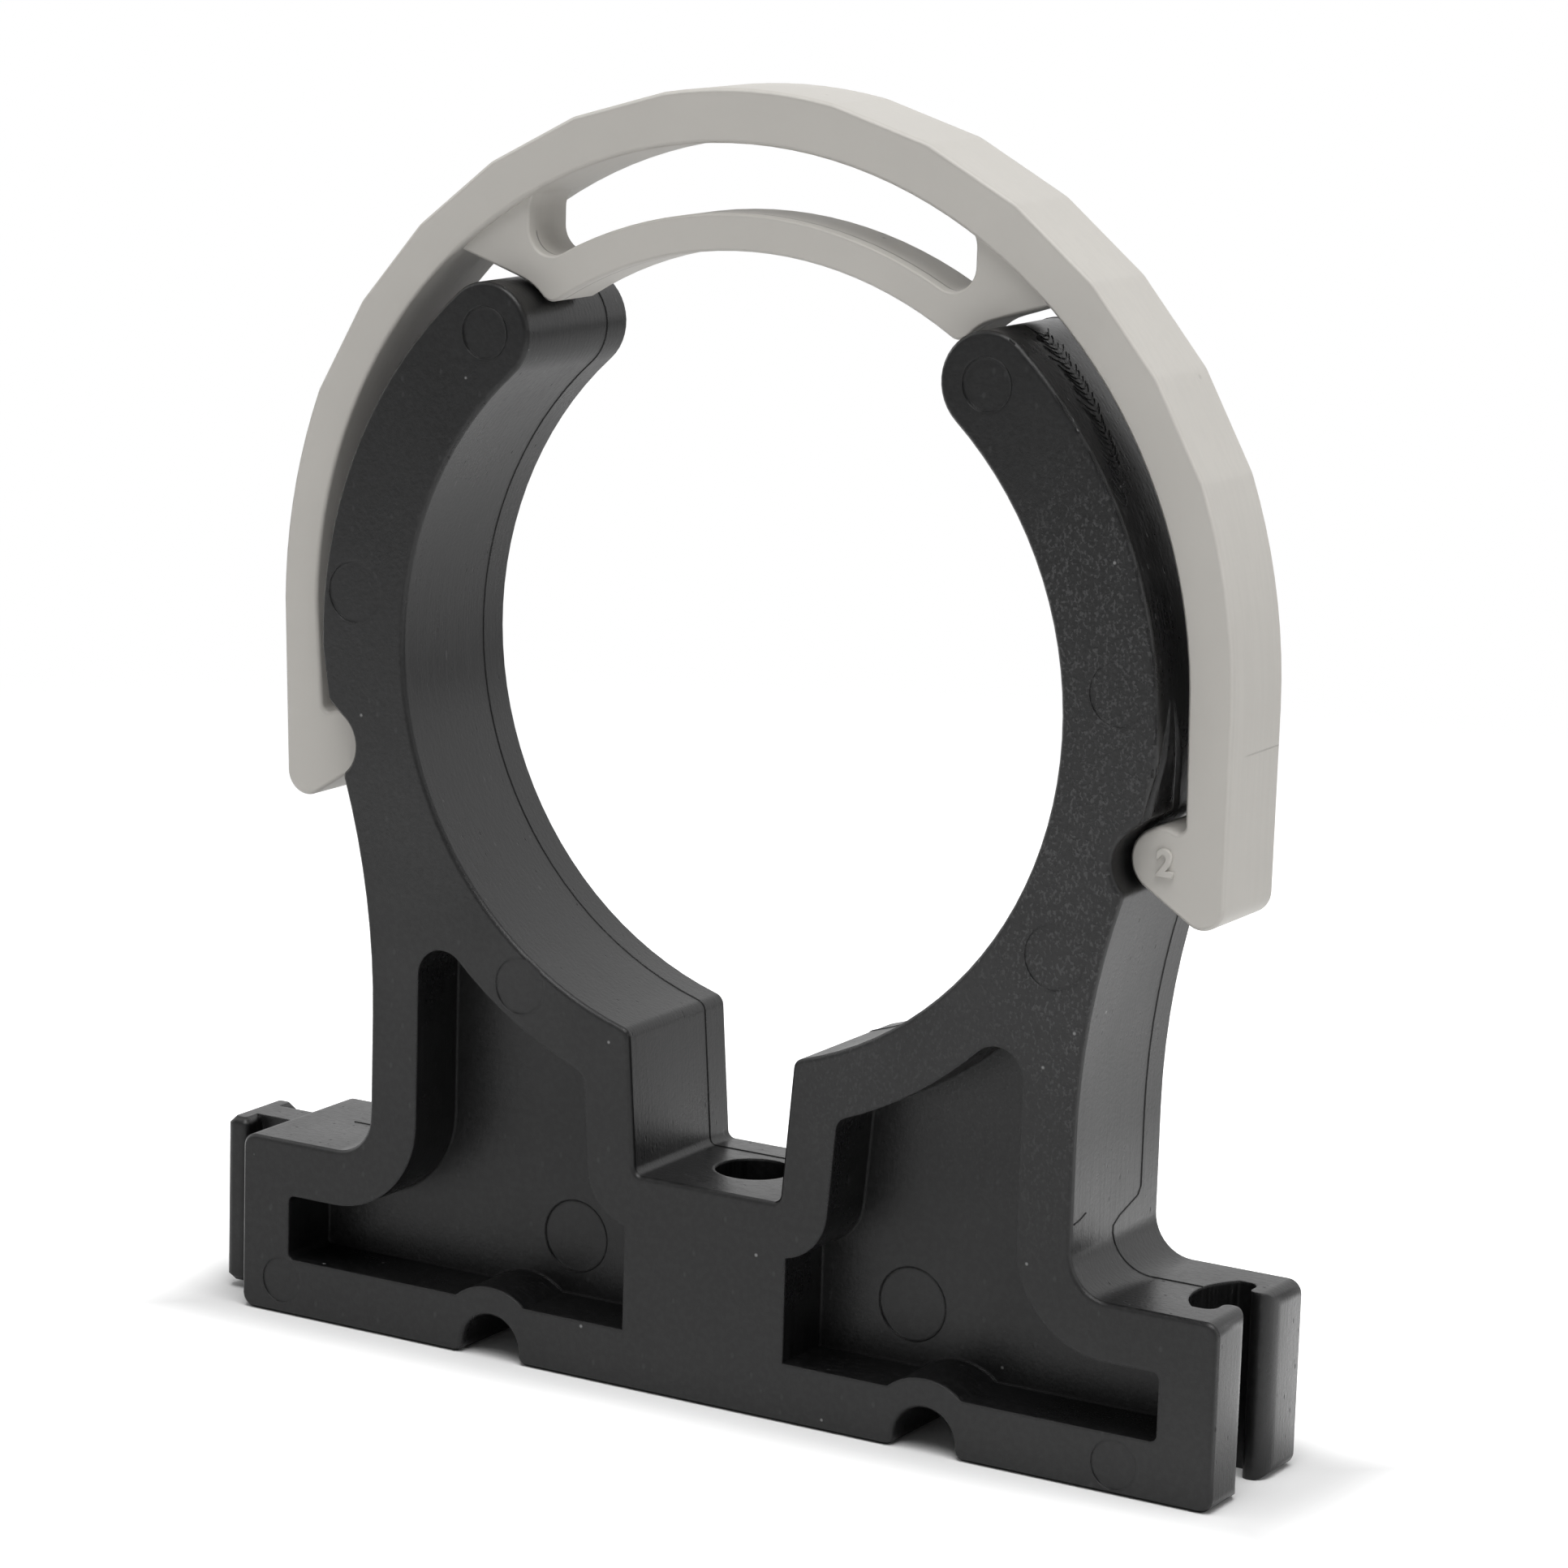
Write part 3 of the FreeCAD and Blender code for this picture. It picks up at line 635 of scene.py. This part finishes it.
def body_section(y):
    """The body's outline where a plane at y cuts it, without the pockets and the foot."""
    shell = bmesh.new()
    shell.from_mesh(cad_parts["clip_body"].data)
    bmesh.ops.remove_doubles(shell, verts=shell.verts, dist=MERGE)
    everything = shell.verts[:] + shell.edges[:] + shell.faces[:]
    cut = bmesh.ops.bisect_plane(shell, geom=everything, plane_co=(0, y * MM, 0),
                                 plane_no=(0, 1, 0))
    outline = []
    for edge in cut["geom_cut"]:
        if not isinstance(edge, bmesh.types.BMEdge):
            continue
        middle = (edge.verts[0].co + edge.verts[1].co) / 2 / MM
        across = abs(middle.x)
        from_axis = math.hypot(middle.x, middle.z - AXIS_Z)
        in_pocket = (POCKET_FROM < across < LEG_X - LEG_WALL
                     and from_axis > BORE_R + BORE_WALL and middle.z < POCKET_TOP)
        on_leg = across > LEG_FROM
        lowest = JOG_TOP if on_leg else SLOT_FLOOR - 0.5
        if middle.z > lowest and not in_pocket:
            ends = [vertex.co.copy() for vertex in edge.verts]
            for end in ends:
                if on_leg:
                    end.z = max(end.z, JOG_TOP * MM)
            outline.append(ends)
    shell.free()
    mesh = bpy.data.meshes.new("joint_outline")
    mesh.from_pydata([end for edge in outline for end in edge],
                     [(2 * index, 2 * index + 1) for index in range(len(outline))], [])
    joined = bmesh.new()
    joined.from_mesh(mesh)
    bmesh.ops.remove_doubles(joined, verts=joined.verts, dist=MERGE)
    joined.to_mesh(mesh)
    joined.free()
    return mesh


def jog_line(side):
    """The joint's way down a leg: across it, down the fillet and along the foot's top."""
    centre_x = LEG_X + FOOT_FILLET
    centre_z = FOOT_TOP + FOOT_FILLET
    line = [(LEG_X, JOINT_Y, JOG_TOP), (LEG_X, JOINT_Y - 0.5, JOG_TOP - 0.7),
            (LEG_X, JOG_Y + 1, JOG_LOW + 0.6), (LEG_X, JOG_Y, JOG_LOW)]
    for step in range(FILLET_STEPS + 1):
        turn = math.radians(180 + 90 * step / FILLET_STEPS)
        depth = JOG_Y + (FOOT_JOINT_Y - JOG_Y) * step / FILLET_STEPS
        line.append((centre_x + FOOT_FILLET * math.cos(turn), depth,
                     centre_z + FOOT_FILLET * math.sin(turn)))
    line.append((LEG_X + FOOT_JOINT_LENGTH, FOOT_JOINT_Y, FOOT_TOP))
    return [(side * x, y, z) for x, y, z in line]


# A short crease across the front of the right leg's side
LEG_CREASE = [(LEG_X, BODY_FRONT + 0.5, 21.4), (LEG_X, -6.2, 21.55), (LEG_X, -5.2, 21.9)]


def add_joint_lines(material):
    """The thin line that the meeting halves of the mould leave round the body."""
    tree = make_line_tree()
    values = {"Bead radius": JOINT_BEAD * MM}
    grown("joint_line", body_section(JOINT_Y), tree, values, material, "body")
    lines = [jog_line(1), jog_line(-1), LEG_CREASE]
    grown("joint_line_on_legs", line_mesh("leg_lines", lines), tree, values,
          material, "body")


FLASH_FIRST = 50.0       # the flash on the right arm's front edge, in degrees about the bore
FLASH_LAST = -4.0
FLASH_STEP = 1.5
FLASH_INSET = 0.17       # how far it lies inside the edge's two faces
FLASH_RAGGED = (0.07, 0.05)  # how far it strays from there, across and along the pipe
FLASH_BREAK = 0.14       # chance that it breaks off after a step
FLASH_SEED = 7


def add_arm_flash(material):
    """The thin ragged flash along the outside edge of the right arm's front."""
    ragged = random.Random(FLASH_SEED)
    stray_across, stray_along = FLASH_RAGGED
    lines = []
    line = []
    degrees = FLASH_FIRST
    while degrees > FLASH_LAST:
        turn = math.radians(degrees)
        radius = ARM_R - FLASH_INSET + ragged.uniform(-stray_across, stray_across)
        depth = BODY_FRONT + FLASH_INSET + ragged.uniform(-stray_along, stray_along)
        line.append((radius * math.cos(turn), depth, AXIS_Z + radius * math.sin(turn)))
        if ragged.random() < FLASH_BREAK:
            lines.append(line)
            line = []
            degrees -= FLASH_STEP
        degrees -= FLASH_STEP * ragged.uniform(0.5, 1.2)
    lines.append(line)
    lines = [line for line in lines if len(line) > 1]
    grown("arm_flash", line_mesh("flash_lines", lines), make_line_tree(),
          {"Bead radius": FLASH_BEAD * MM, "Sides": FINE_SIDES}, material, "body")


RIPPLE_FIRST = 49.5      # the ripples' upper end, in degrees about the bore
RIPPLE_STEP = 0.5        # from one to the next, down the arm
RIPPLE_COUNT = 32
RIPPLE_HALF = 1.6        # half of the upper ripples' width
RIPPLE_HANG = 0.9        # how far a ripple's middle hangs below its ends
RIPPLE_UPPER_Y = -2.7    # where the middle of the upper ripples lies, and of the lowest
RIPPLE_LOWEST_Y = -6.2
RIPPLE_BOW = 1.8         # how their middles bow towards the front on the way down
RIPPLE_NARROWING = 0.45  # how much of its width the lowest has lost
RIPPLE_STEPS = 8         # pieces of each half of a ripple
RIPPLE_SEED = 11


def add_arm_ripples(material):
    """Ripples where the melt met on the outside of the right arm: nested hanging curves."""
    wander = random.Random(RIPPLE_SEED)
    lines = []
    for index in range(RIPPLE_COUNT):
        share = index / (RIPPLE_COUNT - 1)
        middle = RIPPLE_UPPER_Y + (RIPPLE_LOWEST_Y - RIPPLE_UPPER_Y) * share ** RIPPLE_BOW
        middle += wander.uniform(-0.15, 0.15)
        half = RIPPLE_HALF * wander.uniform(0.6, 1.1) * (1 - RIPPLE_NARROWING * share)
        lean = wander.uniform(0.0, 0.4)
        line = []
        for step in range(-RIPPLE_STEPS, RIPPLE_STEPS + 1):
            part = step / RIPPLE_STEPS
            down = (RIPPLE_STEP * index - RIPPLE_HANG * part ** 2 + lean * part
                    + wander.uniform(-0.04, 0.04))
            turn = math.radians(RIPPLE_FIRST) - down / ARM_R
            line.append((ARM_R * math.cos(turn), middle + half * part,
                         AXIS_Z + ARM_R * math.sin(turn)))
        lines.append(line)
    grown("arm_ripples", line_mesh("ripple_lines", lines), make_line_tree(),
          {"Bead radius": RIPPLE_BEAD * MM, "Sides": FINE_SIDES}, material, "body")


# The ejector marks with a raised rim, on the left and the right: (x, y, z, radius)
TIP_MARK = (TIP_X, BODY_FRONT, TIP_Z, 2.2)
WEB_MARK = (16.5, WEB_FRONT, 10.25, 3.14)
MARKS = [(side * x, y, z, radius) for x, y, z, radius in (TIP_MARK, WEB_MARK)
         for side in (-1, 1)]


def add_mark_rims(material):
    """A thin raised rim round each of these marks."""
    mesh = bpy.data.meshes.new("mark_centres")
    mesh.from_pydata([Vector((x, y, z)) * MM for x, y, z, radius in MARKS], [], [])
    rim = mesh.attributes.new("rim", "FLOAT", "POINT")
    for point, (x, y, z, radius) in zip(rim.data, MARKS):
        point.value = radius * MM
    grown("mark_rims", mesh, make_rim_tree(),
          {"Bead radius": RIM_BEAD * MM, "Sides": FINE_SIDES}, material, "body")


# The number on the right hook's bar
NUMBER_X = 39.61
NUMBER_Z = 51.1
NUMBER_HEIGHT = 2.15
NUMBER_RISE = 0.2
NUMBER_ROUNDING = 0.1
NUMBER_SPREAD = 0.02
SIZE_PER_HEIGHT = 1.38   # a font's size over the height of its figures


def add_cavity_number(material):
    """The raised number of the mould's cavity on the right hook's round bar."""
    text = bpy.data.curves.new("cavity_number", "FONT")
    text.body = "2"
    text.align_x = "CENTER"
    text.align_y = "CENTER"
    text.size = SIZE_PER_HEIGHT * NUMBER_HEIGHT * MM
    text.extrude = NUMBER_RISE * MM
    text.bevel_depth = NUMBER_ROUNDING * MM
    text.offset = NUMBER_SPREAD * MM
    text.bevel_resolution = 2
    holder = bpy.data.objects.new("cavity_number_text", text)
    bpy.context.scene.collection.objects.link(holder)
    seen = holder.evaluated_get(bpy.context.evaluated_depsgraph_get())
    mesh = bpy.data.meshes.new_from_object(seen)
    bpy.data.objects.remove(holder)
    place = Vector((NUMBER_X, STRAP_FRONT, NUMBER_Z)) * MM
    mesh.transform(Matrix.Translation(place) @ Matrix.Rotation(math.pi / 2, 4, "X"))
    number = new_object("cavity_number", mesh, material)
    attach(number, "strap")


# Camera, lights and floor

def add_camera():
    """The photograph's camera, turned about the pipe clip by its azimuth and elevation."""
    azimuth = math.radians(CAMERA_AZIMUTH)
    elevation = math.radians(CAMERA_ELEVATION)
    roll = math.radians(CAMERA_ROLL)
    back = Vector((math.sin(azimuth) * math.cos(elevation),
                   -math.cos(azimuth) * math.cos(elevation),
                   math.sin(elevation)))
    right = (-back).cross(Vector((0, 0, 1))).normalized()
    up = right.cross(-back)
    turned_right = math.cos(roll) * right + math.sin(roll) * up
    turned_up = math.cos(roll) * up - math.sin(roll) * right
    place = CAMERA_TARGET + back * CAMERA_DISTANCE
    camera = bpy.data.objects.new("camera", bpy.data.cameras.new("camera"))
    bpy.context.scene.collection.objects.link(camera)
    turn = Matrix((turned_right, turned_up, back)).transposed().to_4x4()
    camera.matrix_world = Matrix.Translation(place) @ turn
    camera.data.sensor_width = SENSOR_MM
    camera.data.lens = SENSOR_MM * FOCAL_PIXELS / FRAME_PIXELS
    camera.data.clip_start = 0.01
    camera.data.clip_end = 10
    bpy.context.scene.camera = camera


def add_lamp(name, azimuth, elevation, distance, size, watts):
    """A square soft box that faces the pipe's axis."""
    lamp = bpy.data.lights.new(name, "AREA")
    lamp.size = size
    lamp.energy = watts
    thing = bpy.data.objects.new(name, lamp)
    bpy.context.scene.collection.objects.link(thing)
    turn = math.radians(azimuth)
    rise = math.radians(elevation)
    back = Vector((math.sin(turn) * math.cos(rise),
                   -math.cos(turn) * math.cos(rise),
                   math.sin(rise)))
    thing.location = Vector((0, 0, AXIS_Z)) * MM + back * distance
    thing.rotation_euler = back.to_track_quat("Z", "Y").to_euler()
    return thing


# Soft boxes: azimuth and elevation in degrees, distance and size in metres, and watts
LAMPS = {
    "top_box": (40, 74, 0.9, 0.7, 8.0),
    "right_box": (91, 20, 0.9, 0.6, 1.35),
    "left_box": (-70, 35, 1.0, 0.6, 1.0),
    "low_front_box": (-10, -4, 0.36, 0.16, 0.06),
}
NOT_MIRRORED = "low_front_box"

WORLD_LEVEL = 0.17       # what the world gives the object; the camera sees it white
ROOM_SHINE = 0.2         # how much of that white the room in front gives to reflections
ROOM_EDGE = (-0.35, 0.05)    # from directions in front, by their y, to those behind

# The floor. From here on a pair is a band, given by its two edges, over which the value
# beside it comes in.
FLOOR_SIZE = 8           # metres
FLOOR_DROP = 0.02 * MM   # keeps the floor off the foot's underside
FLOOR_COLOUR = (0.9, 0.9, 0.9)
FLOOR_LIFT = 0.62        # whiteness that the floor round the object is seen with
FLOOR_LIFT_BEHIND = (7.7 * MM, 19.25 * MM)  # and not under the foot
FLOOR_LIFT_BESIDE = (50 * MM, 62 * MM)
FLOOR_SEEN_WHITE = (110 * MM, 330 * MM)     # past this the camera sees it plain white

# How the floor looks in the object's reflections
BACK_SHINE = 1.25        # added close behind the object
BACK_BEGINS = (-50 * MM, 30 * MM)
BACK_ENDS = (115 * MM, 50 * MM)
BACK_LEFT_SHARE = 0.3    # as much of that is kept on the left
BACK_RIGHT = (-60 * MM, 70 * MM)
FRONT_SHINE = 1.3        # added in front of the object
FRONT_BEGINS = (-80 * MM, -150 * MM)
FRONT_ENDS = (-270 * MM, -190 * MM)
FAR_FRONT_LEVEL = 0.18   # how bright the floor farther in front is
FAR_FRONT_BEGINS = (-215 * MM, -350 * MM)


def white_where_seen(tree):
    """1 for a ray from the camera, also through glass, and 0 for one that only lights."""
    path = tree.nodes.new("ShaderNodeLightPath")
    return math_node(tree, "MAXIMUM", path.outputs["Is Camera Ray"],
                     path.outputs["Is Transmission Ray"])


def add_world():
    """White to the camera and in reflections of what is behind, and dimmer for the rest."""
    world = bpy.data.worlds.new("studio")
    bpy.context.scene.world = world
    world.use_nodes = True
    tree = world.node_tree
    background = tree.nodes["Background"]
    background.inputs["Color"].default_value = (1, 1, 1, 1)
    path = tree.nodes.new("ShaderNodeLightPath")
    split = tree.nodes.new("ShaderNodeSeparateXYZ")
    tree.links.new(tree.nodes.new("ShaderNodeTexCoord").outputs["Generated"], split.inputs[0])
    behind = math_node(tree, "MULTIPLY_ADD", soft_step(tree, split.outputs["Y"], *ROOM_EDGE),
                       1 - ROOM_SHINE)
    behind.node.inputs[2].default_value = ROOM_SHINE
    mirrored = both(tree, path.outputs["Is Glossy Ray"], behind)
    white = math_node(tree, "MAXIMUM", white_where_seen(tree), mirrored)
    level = math_node(tree, "MULTIPLY_ADD", white, 1 - WORLD_LEVEL)
    level.node.inputs[2].default_value = WORLD_LEVEL
    tree.links.new(level, background.inputs["Strength"])


def add_floor():
    """A pale floor that keeps the object's shadow and turns white away from it."""
    bpy.ops.mesh.primitive_plane_add(size=FLOOR_SIZE, location=(0, 0, -FLOOR_DROP))
    floor = bpy.context.object
    floor.name = "floor"
    material = bpy.data.materials.new("pale_floor")
    material.use_nodes = True
    tree = material.node_tree
    shader = tree.nodes["Principled BSDF"]
    shader.inputs["Base Color"].default_value = (*FLOOR_COLOUR, 1)
    shader.inputs["Roughness"].default_value = 0.9
    shader.inputs["Specular IOR Level"].default_value = 0.0
    shader.inputs["Emission Color"].default_value = (1, 1, 1, 1)
    coordinates = tree.nodes.new("ShaderNodeTexCoord").outputs["Object"]
    split = tree.nodes.new("ShaderNodeSeparateXYZ")
    tree.links.new(coordinates, split.inputs[0])
    depth = split.outputs["Y"]
    away = math_node(tree, "ABSOLUTE", depth, 0)
    clear = soft_step(tree, away, *FLOOR_LIFT_BEHIND)
    beside = math_node(tree, "ABSOLUTE", split.outputs["X"], 0)
    clear = math_node(tree, "MAXIMUM", clear, soft_step(tree, beside, *FLOOR_LIFT_BESIDE))
    reflected = tree.nodes.new("ShaderNodeLightPath").outputs["Is Glossy Ray"]
    back = both(tree, soft_step(tree, depth, *BACK_BEGINS), soft_step(tree, depth, *BACK_ENDS))
    right = soft_step(tree, split.outputs["X"], *BACK_RIGHT)
    right = math_node(tree, "ADD", both(tree, right, 1 - BACK_LEFT_SHARE), BACK_LEFT_SHARE)
    front = both(tree, soft_step(tree, depth, *FRONT_BEGINS), soft_step(tree, depth, *FRONT_ENDS))
    lift = total(tree, (white_where_seen(tree), FLOOR_LIFT),
                 (both(tree, both(tree, back, right), reflected), BACK_SHINE),
                 (both(tree, front, reflected), FRONT_SHINE))
    tree.links.new(both(tree, lift, clear), shader.inputs["Emission Strength"])
    far = tree.nodes.new("ShaderNodeEmission")
    level = math_node(tree, "MULTIPLY_ADD", reflected, FAR_FRONT_LEVEL - 1)
    level.node.inputs[2].default_value = 1.0
    tree.links.new(level, far.inputs["Strength"])
    mix = tree.nodes.new("ShaderNodeMixShader")
    length = vector_node(tree, "LENGTH", coordinates, None)
    seen = both(tree, soft_step(tree, length, *FLOOR_SEEN_WHITE), white_where_seen(tree))
    dark = both(tree, soft_step(tree, depth, *FAR_FRONT_BEGINS), reflected)
    share = math_node(tree, "MAXIMUM", seen, dark)
    tree.links.new(share, mix.inputs["Fac"])
    tree.links.new(shader.outputs["BSDF"], mix.inputs[1])
    tree.links.new(far.outputs["Emission"], mix.inputs[2])
    tree.links.new(mix.outputs["Shader"], tree.nodes["Material Output"].inputs["Surface"])
    floor.data.materials.append(material)


def set_stage():
    add_camera()
    add_world()
    add_floor()
    for name, values in LAMPS.items():
        lamp = add_lamp(name, *values)
        lamp.visible_glossy = name != NOT_MIRRORED
    bpy.context.scene.view_settings.view_transform = "Standard"


set_stage()
black = black_plastic()
grey = grey_plastic()
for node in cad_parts.values():
    node.data.materials.clear()
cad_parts["clip_body"].data.materials.append(black)
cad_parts["retaining_strap"].data.materials.append(grey)
creased_body = cut_away(merged_copy("clip_body"), crease_cutter())
finished_moulding(creased_body, "clip_body", "body_moulding", "body", black)
finished_moulding(merged_copy("retaining_strap"), "retaining_strap", "strap_moulding",
                  "strap", grey)
add_joint_lines(black)
add_mark_rims(black)
add_arm_flash(black)
add_arm_ripples(black)
add_cavity_number(grey)
